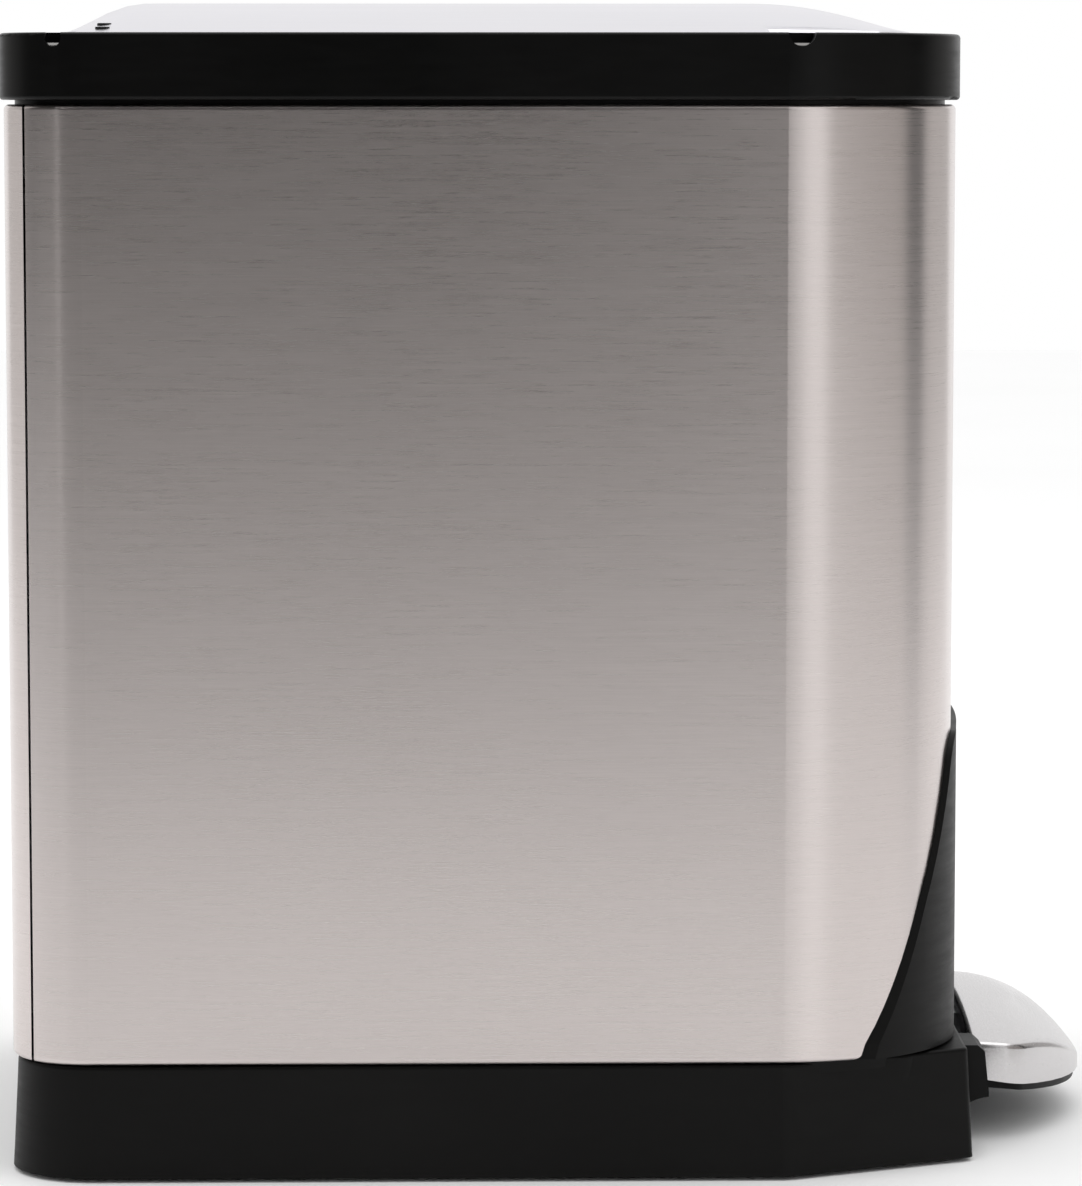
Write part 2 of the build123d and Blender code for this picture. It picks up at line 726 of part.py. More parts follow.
with BuildPart() as pedal_core:
    add(tread_part(1.3, 1.3, 2.6))
    with BuildSketch(lever_plane.offset(-12)):
        with Locations((0, lever_front + 8)):
            Rectangle(2 * lever_half_width + 0.4, 16.6)
    extrude(amount=18.2, mode=Mode.SUBTRACT)
save(pedal_core, "pedal_core")

with BuildPart() as pedal_stop:
    stop_top = plinth_top - floor_thickness
    with Locations((0, -98.0, (stop_top + 28.6) / 2)):
        Cylinder(6.0, stop_top - 28.6)
    fillet(pedal_stop.faces().sort_by(Axis.Z)[0].edges(), radius=1.0)
    with Locations((0, -98.0, stop_top + 1.0)):
        Cylinder(2.0, 2.0)
save(pedal_stop, "pedal_stop")

# ---------------------------------------------------------------- lift rod and crosshead

roller_top = pivot_z - lever_arm * sin(pitch) + roller_radius
foot_bottom = roller_top + contact_gap
bar_bottom = 254.0
tip_top = hinge_z - cam_depth - contact_gap

with BuildPart() as rod_foot:
    with Locations((0, rod_y, foot_bottom + 3)):
        Cylinder(7.0, 6.0)
    fillet(rod_foot.edges().group_by(Axis.Z)[-1], radius=1.5)
    with Locations((0, rod_y, foot_bottom + 5)):
        Cylinder(rod_radius + 0.02, 6.0, mode=Mode.SUBTRACT)
save(rod_foot, "rod_foot")

with BuildPart() as lift_rod:
    with Locations((0, rod_y, (foot_bottom + 2.1 + bar_bottom + 5.9) / 2)):
        Cylinder(rod_radius, bar_bottom + 5.9 - foot_bottom - 2.1)
save(lift_rod, "lift_rod")

with BuildPart() as crosshead:
    with BuildSketch(Plane.XZ.offset(-rod_y - 3)):
        with BuildLine():
            Polyline(
                (-cam_x - 3, tip_top), (-cam_x - 3, bar_bottom + 6), (-cam_x + 3, bar_bottom),
                (cam_x - 3, bar_bottom), (cam_x + 3, bar_bottom + 6), (cam_x + 3, tip_top),
                (cam_x - 3, tip_top), (cam_x - 3, bar_bottom + 9), (-cam_x + 3, bar_bottom + 9),
                (-cam_x + 3, tip_top), (-cam_x - 3, tip_top),
            )
        make_face()
    extrude(amount=6)
    with Locations((0, rod_y, bar_bottom + 2.9)):
        Cylinder(rod_radius + 0.02, 6.2, mode=Mode.SUBTRACT)
    with Locations((34, rod_y, bar_bottom + 2.9)):
        Cylinder(2.02, 6.2, mode=Mode.SUBTRACT)
save(crosshead, "crosshead")

with BuildPart() as spring_clip:
    with Locations((0, rod_y, 168.0)):
        Cylinder(6.0, 2.0)
        Cylinder(rod_radius + 0.02, 4.0, mode=Mode.SUBTRACT)
save(spring_clip, "spring_clip")

spring_bottom = 169.2
spring_top = 224.8
spring_turns = 9

with BuildPart() as return_spring:
    with BuildLine() as coil:
        Helix(
            pitch=(spring_top - spring_bottom - 1.4) / spring_turns,
            height=spring_top - spring_bottom - 1.4, radius=4.6,
            center=(0, rod_y, spring_bottom + 0.7),
        )
    with BuildSketch(Plane(origin=coil.line @ 0, z_dir=coil.line % 0)):
        Circle(0.6)
    sweep(path=coil.line, is_frenet=True)
save(return_spring, "return_spring")

# ---------------------------------------------------------------- inner wall, guides and damper

with BuildPart() as inner_wall:
    with Locations((0, 122.0, (plinth_top + 303.6) / 2 + 0.1)):
        Box(2 * 105.0, 2.0, 303.6 - plinth_top)
    for rib_x in (-60.0, 60.0):
        with Locations((rib_x, 124.0, 160.0)):
            Box(2.0, 3.0, 220.0)
save(inner_wall, "inner_wall")

for guide_z, guide_name in ((68.0, "lower"), (230.0, "upper")):
    with BuildPart() as guide:
        with Locations((0, 130.55, guide_z)):
            Box(24, 15, 10)
        fillet(guide.edges().filter_by(Axis.Z).group_by(Axis.Y)[-1], radius=4)
        with Locations((0, rod_y, guide_z)):
            Cylinder(rod_radius + 0.06, 20, mode=Mode.SUBTRACT)
    save(guide, f"rod_guide_{guide_name}")

with BuildPart() as damper_cylinder:
    with Locations((34, rod_y, 110.0)):
        Cylinder(7.0, 90.0)
    fillet(damper_cylinder.edges().group_by(Axis.Z)[-1], radius=1.5)
    with Locations((34, rod_y, 114.0)):
        Cylinder(5.4, 78.0, mode=Mode.SUBTRACT)
    with Locations((34, rod_y, 150.0)):
        Cylinder(2.06, 20.0, mode=Mode.SUBTRACT)
save(damper_cylinder, "damper_cylinder")

with BuildPart() as damper_rod:
    with Locations((34, rod_y, (100.0 + bar_bottom + 5.9) / 2)):
        Cylinder(2.0, bar_bottom + 5.9 - 100.0)
    with Locations((34, rod_y, 101.0)):
        Cylinder(5.1, 4.0)
save(damper_rod, "damper_rod")

# ---------------------------------------------------------------- bucket and bail


def bucket_part(inset, low, high):
    """Tapered tub from its low to its high level, inset in plan."""
    shrink = (bucket_top - low) * 0.01746 * bucket_taper
    spread = (bucket_top - high) * 0.01746 * bucket_taper
    faces = [
        plan_face(
            level, bucket_half_width - inset - less, bucket_front_y + inset + less,
            bucket_rear_y - inset - less, 30.5 - inset, 12 - inset,
        )
        for level, less in ((low, shrink), (high, spread))
    ]
    with BuildPart() as tub:
        loft(faces)
    return tub.part


with BuildPart() as bucket:
    add(bucket_part(0, bucket_bottom, bucket_top))
    fillet(bucket.faces().sort_by(Axis.Z)[0].edges(), radius=4)
    extrude(
        plan_face(
            bucket_top - 2.2, bucket_half_width + 3.0,
            bucket_front_y - 2.8, bucket_rear_y + 2.8, 33, 14,
        ),
        amount=2.2,
    )
    add(bucket_part(bucket_wall, bucket_bottom + 2.0, bucket_top), mode=Mode.SUBTRACT)
    for side in (-1, 1):
        with Locations((side * (bucket_half_width - 1.05), bail_y, bail_z - 3)):
            Box(2.5, 11, 14)
        with Locations(Location((side * (bucket_half_width - 1), bail_y, bail_z), (0, 90, 0))):
            Cylinder(bail_radius + 0.07, 12, mode=Mode.SUBTRACT)
save(bucket, "bucket")

with BuildPart() as bail:
    with BuildLine() as bail_path:
        FilletPolyline(
            (bail_x - 4.9, bail_y, bail_z), (bail_x, bail_y, bail_z), (bail_x, bail_front_y, bail_z),
            (-bail_x, bail_front_y, bail_z), (-bail_x, bail_y, bail_z), (4.9 - bail_x, bail_y, bail_z),
            radius=(2.2, 31, 31, 2.2),
        )
    with BuildSketch(Plane(origin=bail_path.line @ 0, z_dir=bail_path.line % 0)):
        Circle(bail_radius)
    sweep(path=bail_path.line)
save(bail, "bail")
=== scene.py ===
import bpy
import bmesh
import json
from math import radians, sin, cos, atan2, sqrt, pi
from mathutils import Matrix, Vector


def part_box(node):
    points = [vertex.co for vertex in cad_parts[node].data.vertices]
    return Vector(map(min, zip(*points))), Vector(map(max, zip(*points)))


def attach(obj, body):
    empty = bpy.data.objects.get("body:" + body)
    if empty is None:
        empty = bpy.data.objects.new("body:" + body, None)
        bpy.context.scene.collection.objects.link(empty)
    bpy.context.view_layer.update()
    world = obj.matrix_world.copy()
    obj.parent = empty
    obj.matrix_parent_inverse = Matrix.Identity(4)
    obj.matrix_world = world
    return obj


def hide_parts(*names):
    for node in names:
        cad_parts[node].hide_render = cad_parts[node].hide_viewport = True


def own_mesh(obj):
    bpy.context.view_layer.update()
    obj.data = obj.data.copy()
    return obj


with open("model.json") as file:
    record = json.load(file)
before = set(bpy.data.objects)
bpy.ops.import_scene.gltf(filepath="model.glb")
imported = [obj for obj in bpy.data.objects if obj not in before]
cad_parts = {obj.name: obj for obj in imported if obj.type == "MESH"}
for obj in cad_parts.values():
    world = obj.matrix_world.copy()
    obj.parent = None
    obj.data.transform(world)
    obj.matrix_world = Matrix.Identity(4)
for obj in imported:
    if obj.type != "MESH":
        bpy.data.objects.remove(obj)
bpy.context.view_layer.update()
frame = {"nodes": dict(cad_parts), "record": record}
print("frame loaded:", len(frame["nodes"]), "nodes")

bpy.context.scene.view_settings.view_transform = "Standard"


# materials

def newMaterial(name):
    material = bpy.data.materials.new(name)
    material.use_nodes = True
    tree = material.node_tree
    shader = tree.nodes["Principled BSDF"]
    return material, tree, shader


def addNode(tree, kind, **settings):
    node = tree.nodes.new(kind)
    for key, value in settings.items():
        setattr(node, key, value)
    return node


def objectPattern(tree, stretch):
    # object coordinates, stretched by a mapping so that one axis carries the grain
    coords = addNode(tree, "ShaderNodeTexCoord")
    mapping = addNode(tree, "ShaderNodeMapping")
    mapping.inputs["Scale"].default_value = stretch
    tree.links.new(coords.outputs["Object"], mapping.inputs["Vector"])
    return mapping.outputs["Vector"]


def noiseLayer(tree, vector, scale, detail=4.0, rough=0.55):
    noise = addNode(tree, "ShaderNodeTexNoise")
    noise.inputs["Scale"].default_value = scale
    noise.inputs["Detail"].default_value = detail
    noise.inputs["Roughness"].default_value = rough
    tree.links.new(vector, noise.inputs["Vector"])
    return noise.outputs["Fac"]


def remap(tree, value, low, high, fromLow=0.3, fromHigh=0.7):
    ranger = addNode(tree, "ShaderNodeMapRange")
    ranger.inputs["From Min"].default_value = fromLow
    ranger.inputs["From Max"].default_value = fromHigh
    ranger.inputs["To Min"].default_value = low
    ranger.inputs["To Max"].default_value = high
    tree.links.new(value, ranger.inputs["Value"])
    return ranger.outputs["Result"]


def mixColours(tree, factor, dark, light):
    mix = addNode(tree, "ShaderNodeMix", data_type="RGBA")
    mix.inputs["A"].default_value = (*dark, 1)
    mix.inputs["B"].default_value = (*light, 1)
    tree.links.new(factor, mix.inputs["Factor"])
    return mix.outputs["Result"]


def addValues(tree, first, second, weight):
    node = addNode(tree, "ShaderNodeMath", operation="MULTIPLY_ADD")
    node.inputs[1].default_value = weight
    tree.links.new(second, node.inputs[0])
    tree.links.new(first, node.inputs[2])
    return node.outputs[0]


def bumpFrom(tree, height, strength, distance):
    bump = addNode(tree, "ShaderNodeBump")
    bump.inputs["Strength"].default_value = strength
    bump.inputs["Distance"].default_value = distance
    tree.links.new(height, bump.inputs["Height"])
    return bump.outputs["Normal"]


def brushedSteel(name, look):
    material, tree, shader = newMaterial(name)
    fine = noiseLayer(tree, objectPattern(tree, look["fineGrain"]), 1.0, 3.0, 0.65)
    broad = noiseLayer(tree, objectPattern(tree, look["broadGrain"]), 1.0, 4.0, 0.6)
    cloud = noiseLayer(tree, objectPattern(tree, (9, 9, 9)), 1.0, 2.0, 0.5)
    streaks = addValues(tree, fine, broad, 0.6)
    tone = remap(tree, streaks, 0.0, 1.0, 0.55, 1.05)
    tree.links.new(mixColours(tree, tone, look["dark"], look["light"]), shader.inputs["Base Color"])
    roughBase = remap(tree, streaks, look["roughness"] - 0.02, look["roughness"] + 0.02, 0.55, 1.05)
    tree.links.new(addValues(tree, roughBase, cloud, 0.03), shader.inputs["Roughness"])
    tree.links.new(bumpFrom(tree, streaks, look["bump"], 0.00002), shader.inputs["Normal"])
    shader.inputs["Metallic"].default_value = 1.0
    shader.inputs["Anisotropic"].default_value = look["anisotropy"]
    shader.inputs["Anisotropic Rotation"].default_value = look["turn"]
    return material


def mouldedPlastic(name, look):
    material, tree, shader = newMaterial(name)
    grain = noiseLayer(tree, objectPattern(tree, (1, 1, 1)), look["grainScale"], 3.0, 0.6)
    cloud = noiseLayer(tree, objectPattern(tree, (14, 14, 14)), 1.0, 3.0, 0.5)
    scuff = noiseLayer(tree, objectPattern(tree, (60, 60, 420)), 1.0, 5.0, 0.7)
    tone = mixColours(tree, remap(tree, cloud, 0.0, 1.0), look["dark"], look["light"])
    tree.links.new(tone, shader.inputs["Base Color"])
    rough = remap(tree, scuff, look["roughness"] - 0.04, look["roughness"] + 0.06)
    tree.links.new(rough, shader.inputs["Roughness"])
    tree.links.new(bumpFrom(tree, grain, look["bump"], look["grainDepth"]), shader.inputs["Normal"])
    shader.inputs["IOR"].default_value = look.get("ior", 1.48)
    shader.inputs["Specular IOR Level"].default_value = look.get("specular", 0.5)
    return material


wrapLook = {
    "fineGrain": (75, 75, 6000), "broadGrain": (16, 16, 2400),
    "dark": (0.645, 0.590, 0.574), "light": (0.715, 0.655, 0.638),
    "roughness": 0.27, "bump": 0.006, "anisotropy": 0.65, "turn": 0.25,
}
lidLook = {
    "fineGrain": (5200, 40, 40), "broadGrain": (1400, 8, 8),
    "dark": (0.68, 0.67, 0.705), "light": (0.75, 0.74, 0.775),
    "roughness": 0.30, "bump": 0.02, "anisotropy": 0.3, "turn": 0.0,
}
treadLook = {
    "fineGrain": (40, 5200, 5200), "broadGrain": (8, 1400, 1400),
    "dark": (0.59, 0.575, 0.575), "light": (0.63, 0.615, 0.62),
    "roughness": 0.25, "bump": 0.012, "anisotropy": 0.3, "turn": 0.0,
}
stampedLook = {
    "fineGrain": (300, 300, 300), "broadGrain": (60, 60, 60),
    "dark": (0.42, 0.43, 0.45), "light": (0.56, 0.57, 0.58),
    "roughness": 0.38, "bump": 0.3, "anisotropy": 0.0, "turn": 0.0,
}
wireLook = {
    "fineGrain": (900, 30, 900), "broadGrain": (200, 10, 200),
    "dark": (0.60, 0.60, 0.61), "light": (0.74, 0.74, 0.75),
    "roughness": 0.18, "bump": 0.1, "anisotropy": 0.0, "turn": 0.0,
}
springLook = dict(wireLook, dark=(0.30, 0.30, 0.31), light=(0.42, 0.42, 0.43), roughness=0.32)
# hinge pin steel made near-black: painted shade standing in for the dark hinge notches around the pins
pinPaintedShadeLook = dict(wireLook, dark=(0.16, 0.155, 0.15), light=(0.22, 0.215, 0.21), roughness=0.34)
collarLook = {
    "grainScale": 2600, "grainDepth": 0.00001, "bump": 0.12,
    "dark": (0.0018, 0.0018, 0.0017), "light": (0.0030, 0.0029, 0.0028), "roughness": 0.32, "specular": 0.14,
}
baseLook = {
    "grainScale": 1500, "grainDepth": 0.00004, "bump": 0.35,
    "dark": (0.0024, 0.0023, 0.0021), "light": (0.0042, 0.0040, 0.0037), "roughness": 0.46, "specular": 0.16,
}
linerLook = dict(baseLook, dark=(0.016, 0.016, 0.017), light=(0.022, 0.022, 0.023), roughness=0.42)
bucketLook = dict(baseLook, dark=(0.030, 0.031, 0.034), light=(0.042, 0.043, 0.047), roughness=0.38)
acetalLook = {
    "grainScale": 900, "grainDepth": 0.00002, "bump": 0.15,
    "dark": (0.70, 0.69, 0.63), "light": (0.78, 0.77, 0.71), "roughness": 0.35,
}
rubberLook = {
    "grainScale": 1200, "grainDepth": 0.00005, "bump": 0.5,
    "dark": (0.010, 0.010, 0.010), "light": (0.018, 0.018, 0.018), "roughness": 0.75,
}

finishes = {
    "steel_wrap": brushedSteel("wrapSteel", wrapLook),
    "steel_lid": brushedSteel("lidSteel", lidLook),
    "pedal_steel": brushedSteel("treadSteel", treadLook),
    "stamped_steel": brushedSteel("zincPlate", stampedLook),
    "bright_steel": brushedSteel("brightWire", wireLook),
    "spring_steel": brushedSteel("springWire", springLook),
    "satin_plastic": mouldedPlastic("collarPlastic", collarLook),
    "matte_plastic": mouldedPlastic("basePlastic", baseLook),
    "liner_plastic": mouldedPlastic("linerPlastic", linerLook),
    "plug_plastic": mouldedPlastic("plugPlastic", linerLook),
    "roller_plastic": mouldedPlastic("acetal", acetalLook),
    "bucket_plastic": mouldedPlastic("bucketPlastic", bucketLook),
    "rubber": mouldedPlastic("footRubber", rubberLook),
}

# the pins' dark steel is painted shade for the notches they sit in
pinPaintedShadeFinish = brushedSteel("hingePinPaintedShade", pinPaintedShadeLook)
slotOf = {part["node"]: part["material_slot"] for part in frame["record"]["subparts"]}
for nodeName, nodeObject in frame["nodes"].items():
    for index in range(len(nodeObject.material_slots)):
        nodeObject.material_slots[index].material = finishes[slotOf[nodeName]]
        if nodeName.startswith("hinge_pin"):
            nodeObject.material_slots[index].material = pinPaintedShadeFinish  # pins darkened: painted shade for the dark notches they sit in
print("finishes set on the CAD nodes")


# pieces shaped in Blender

def beginPiece(name):
    piece = bpy.context.object
    piece.name = name
    piece.data.name = name
    bpy.ops.object.transform_apply(location=True, rotation=True, scale=True)
    return piece


def selectOnly(piece):
    bpy.ops.object.select_all(action="DESELECT")
    piece.select_set(True)
    bpy.context.view_layer.objects.active = piece


def openEdit(piece, mode):
    selectOnly(piece)
    bpy.ops.object.mode_set(mode="EDIT")
    bpy.ops.mesh.select_mode(type=mode)
    bpy.ops.mesh.select_all(action="DESELECT")


def closeEdit():
    bpy.ops.object.mode_set(mode="OBJECT")


def pickPoints(piece, test):
    shape = bmesh.from_edit_mesh(piece.data)
    for point in shape.verts:
        point.select_set(bool(test(point.co)))
    shape.select_flush_mode()
    bmesh.update_edit_mesh(piece.data)


def pickEdges(piece, test):
    shape = bmesh.from_edit_mesh(piece.data)
    for edge in shape.edges:
        edge.select_set(bool(test(edge)))
    bmesh.update_edit_mesh(piece.data)


def pickFaces(piece, test):
    shape = bmesh.from_edit_mesh(piece.data)
    for face in shape.faces:
        face.select_set(bool(test(face.calc_center_median(), face.normal)))
    bmesh.update_edit_mesh(piece.data)


def pressOnto(piece, form):
    # the sheet drops straight onto the form
    press = piece.modifiers.new("press", "SHRINKWRAP")
    press.target = form
    press.wrap_method = "PROJECT"
    press.use_project_z = True
    press.use_negative_direction = True
    press.use_positive_direction = True
    applyModifier(piece, press)


def applyModifier(piece, modifier):
    selectOnly(piece)
    bpy.ops.object.modifier_apply(modifier=modifier.name)


def dropForm(form):
    mesh = form.data
    bpy.data.objects.remove(form)
    bpy.data.meshes.remove(mesh)


def sheetThickness(piece, thickness):
    wall = piece.modifiers.new("wall", "SOLIDIFY")
    wall.thickness = thickness
    wall.offset = -1
    applyModifier(piece, wall)


def smoothPiece(piece, angle):
    selectOnly(piece)
    bpy.ops.object.shade_smooth_by_angle(angle=radians(angle))


def turnOutwards(piece):
    openEdit(piece, "VERT")
    bpy.ops.mesh.select_all(action="SELECT")
    bpy.ops.mesh.remove_doubles(threshold=0.00002)
    bpy.ops.mesh.normals_make_consistent(inside=False)
    closeEdit()
    highest = max(piece.data.polygons, key=lambda face: face.center.z)
    if highest.normal.z < 0:
        openEdit(piece, "VERT")
        bpy.ops.mesh.select_all(action="SELECT")
        bpy.ops.mesh.flip_normals()
        closeEdit()


def heightForm(name, low, high, columns, rows, across, along, base):
    # a pressing form: columns are lifted to the cross curve, rows then squeezed to the long curve
    bpy.ops.object.select_all(action="DESELECT")
    bpy.ops.mesh.primitive_grid_add(
        x_subdivisions=columns, y_subdivisions=rows, size=1,
        location=((low[0] + high[0]) / 2, (low[1] + high[1]) / 2, base))
    bpy.context.object.scale = (high[0] - low[0], high[1] - low[1], 1)
    form = beginPiece(name)
    openEdit(form, "VERT")
    half = (high[0] - low[0]) / columns / 2
    for index in range(columns + 1):
        x = low[0] + (high[0] - low[0]) * index / columns
        pickPoints(form, lambda co: abs(co.x - x) < half)
        bpy.ops.transform.translate(value=(0, 0, across(x)))
    half = (high[1] - low[1]) / rows / 2
    for index in range(rows + 1):
        y = low[1] + (high[1] - low[1]) * index / rows
        if along(y) < 1:
            pickPoints(form, lambda co: abs(co.y - y) < half)
            middle = ((low[0] + high[0]) / 2, y, base)
            bpy.ops.transform.resize(value=(1, 1, along(y)), center_override=middle)
    closeEdit()
    return form


def cutInnerField(piece, ring, step, low, high):
    # an even border ring first, then a field of straight cuts inside it
    bpy.ops.mesh.select_mode(type="FACE")
    bpy.ops.mesh.select_all(action="SELECT")
    bpy.ops.mesh.inset(thickness=ring, depth=0, use_boundary=True, use_even_offset=True)
    bpy.ops.mesh.hide(unselected=True)
    for axis in (0, 1):
        count = int((high[axis] - low[axis]) / step)
        for index in range(1, count):
            place = low[axis] + (high[axis] - low[axis]) * index / count
            bpy.ops.mesh.select_all(action="SELECT")
            if axis == 0:
                bpy.ops.mesh.bisect(plane_co=(place, 0, 0), plane_no=(1, 0, 0))
            else:
                bpy.ops.mesh.bisect(plane_co=(0, place, 0), plane_no=(0, 1, 0))
    bpy.ops.mesh.reveal(select=False)


def isTopEdge(edge):
    # the edge between a drawn-down wall and the sheet above it
    if len(edge.link_faces) != 2:
        return False
    slopes = [abs(face.normal.z) for face in edge.link_faces]
    return min(slopes) < 0.3 and max(slopes) > 0.5


def rollRim(piece, bottom, radius, segments):
    # the border is drawn straight down and its top edge rounded
    openEdit(piece, "EDGE")
    pickEdges(piece, lambda edge: edge.is_boundary)
    bpy.ops.mesh.extrude_edges_move(TRANSFORM_OT_translate={"value": (0, 0, -0.002)})
    bpy.ops.transform.resize(value=(1, 1, 0), center_override=(0, 0, bottom))
    pickEdges(piece, isTopEdge)
    bpy.ops.mesh.bevel(offset=radius, segments=segments, affect="EDGES", clamp_overlap=False)
    closeEdit()


# lid wings: crowned steel skins with a rolled rim

wing = {
    "cornerOffset": 0.0405, "rearOffset": 0.0038, "earX": 0.098, "crown": 0.0099,
    "frontRoll": 0.044, "rearRoll": 0.020, "sheet": 0.0008, "rimRadius": 0.0019,
    "ring": 0.0032, "step": 0.0046, "bottom": 0.3112,
    "rimAbovePin": 0.00407, "barrelInset": 0.010, "formMargin": 0.003,
}
wingLow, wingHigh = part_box("lid_wing_right")
pinLow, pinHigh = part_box("hinge_pin_front_right")
hingeX = (pinLow[0] + pinHigh[0]) / 2
rimTop = (pinLow[2] + pinHigh[2]) / 2 + wing["rimAbovePin"]
earFront = pinHigh[1] - wing["barrelInset"]  # the barrel starts before the pin's inner end
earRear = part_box("hinge_pin_rear_right")[0][1] + wing["barrelInset"]


def wingAcross(x):
    return wing["crown"] * (1 - (min(abs(x), hingeX + 0.006) / hingeX) ** 2)


def wingAlong(y):
    front = max(0.0, (wingLow[1] + wing["frontRoll"] - y) / wing["frontRoll"])
    rear = max(0.0, (y - wingHigh[1] + wing["rearRoll"]) / wing["rearRoll"])
    return max(0.0, 1 - min(front, 1.0) ** 2.2 - min(rear, 1.0) ** 2.2)


def lidSkin(side, sideName):
    width = wingHigh[0] - wingLow[0]
    length = wingHigh[1] - wingLow[1]
    centreX = side * (wingLow[0] + wingHigh[0]) / 2
    centreY = (wingLow[1] + wingHigh[1]) / 2
    margin = wing["formMargin"]
    form = heightForm(
        "wingForm",
        (centreX - width / 2 - margin, wingLow[1] - margin),
        (centreX + width / 2 + margin, wingHigh[1] + margin),
        32, 96, wingAcross, wingAlong, rimTop)
    bpy.ops.object.select_all(action="DESELECT")
    bpy.ops.mesh.primitive_plane_add(size=1, location=(centreX, centreY, rimTop + 0.02))
    bpy.context.object.scale = (width, length, 1)
    skin = beginPiece("lidSkin_" + sideName)
    outer = side * wingHigh[0]
    openEdit(skin, "VERT")
    pickPoints(skin, lambda co: abs(co.x - outer) < 0.001 and co.y < 0)
    bpy.ops.mesh.bevel(offset=wing["cornerOffset"], segments=16, affect="VERTICES")
    pickPoints(skin, lambda co: abs(co.x - outer) < 0.001 and co.y > wingHigh[1] - 0.0001)
    bpy.ops.mesh.bevel(offset=wing["rearOffset"], segments=5, affect="VERTICES")
    bpy.ops.mesh.select_mode(type="FACE")
    cuts = (
        ((side * wing["earX"], 0, 0), (1, 0, 0)),
        ((0, earFront, 0), (0, 1, 0)),
        ((0, earRear, 0), (0, 1, 0)),
    )
    for planePoint, planeNormal in cuts:
        bpy.ops.mesh.select_all(action="SELECT")
        bpy.ops.mesh.bisect(plane_co=planePoint, plane_no=planeNormal)
    # the corners outside the hinge line stay with the collar
    pickFaces(skin, lambda co, normal: (
        side * co.x > wing["earX"] and (co.y < earFront or co.y > earRear)))
    bpy.ops.mesh.delete(type="FACE")
    bpy.ops.mesh.select_mode(type="EDGE")
    pickEdges(skin, lambda edge: edge.is_boundary and edge.calc_length() > 0.03)
    bpy.ops.mesh.subdivide(number_cuts=30)
    cutInnerField(
        skin, wing["ring"], wing["step"],
        (centreX - width / 2, wingLow[1]), (centreX + width / 2, wingHigh[1]))
    closeEdit()
    pressOnto(skin, form)
    dropForm(form)
    rollRim(skin, wing["bottom"], wing["rimRadius"], 4)
    turnOutwards(skin)
    sheetThickness(skin, wing["sheet"])
    smoothPiece(skin, 40)
    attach(skin, "wing_" + sideName)
    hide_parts("lid_wing_" + sideName)
    skin.data.materials.append(finishes["steel_lid"])


for side, sideName in ((-1, "left"), (1, "right")):
    lidSkin(side, sideName)
print("lid skins made")


# pedal tread: one pressed steel sheet, bowed at the nose

tread = {
    "shoulderY": -0.131, "backY": -0.1175, "noseY": -0.155, "halfWidth": 0.059,
    "cornerOffset": 0.0040, "backOffset": 0.003,
    "baseZ": 0.0142, "rise": 0.0203, "sideFall": 0.0065, "rollStart": -0.119, "rollLength": 0.037,
    "ring": 0.0022, "step": 0.0034, "rimRadius": 0.0013, "sheet": 0.0012,
    "skirtBottom": 0.006, "skirtBack": 0.018, "skirtSlope": 0.154,
    "slotHalf": 0.0187, "slotTop": 0.0303, "bowCuts": 15,
}


def treadAcross(x):
    return tread["rise"] - tread["sideFall"] * (x / tread["halfWidth"]) ** 2


def treadAlong(y):
    ahead = max(0.0, (tread["rollStart"] - y) / tread["rollLength"])
    return 1 - min(ahead, 1.2) ** 2.3


def isBack(co, normal):
    return co.y > tread["backY"] - 0.0004 and abs(normal.y) > 0.9


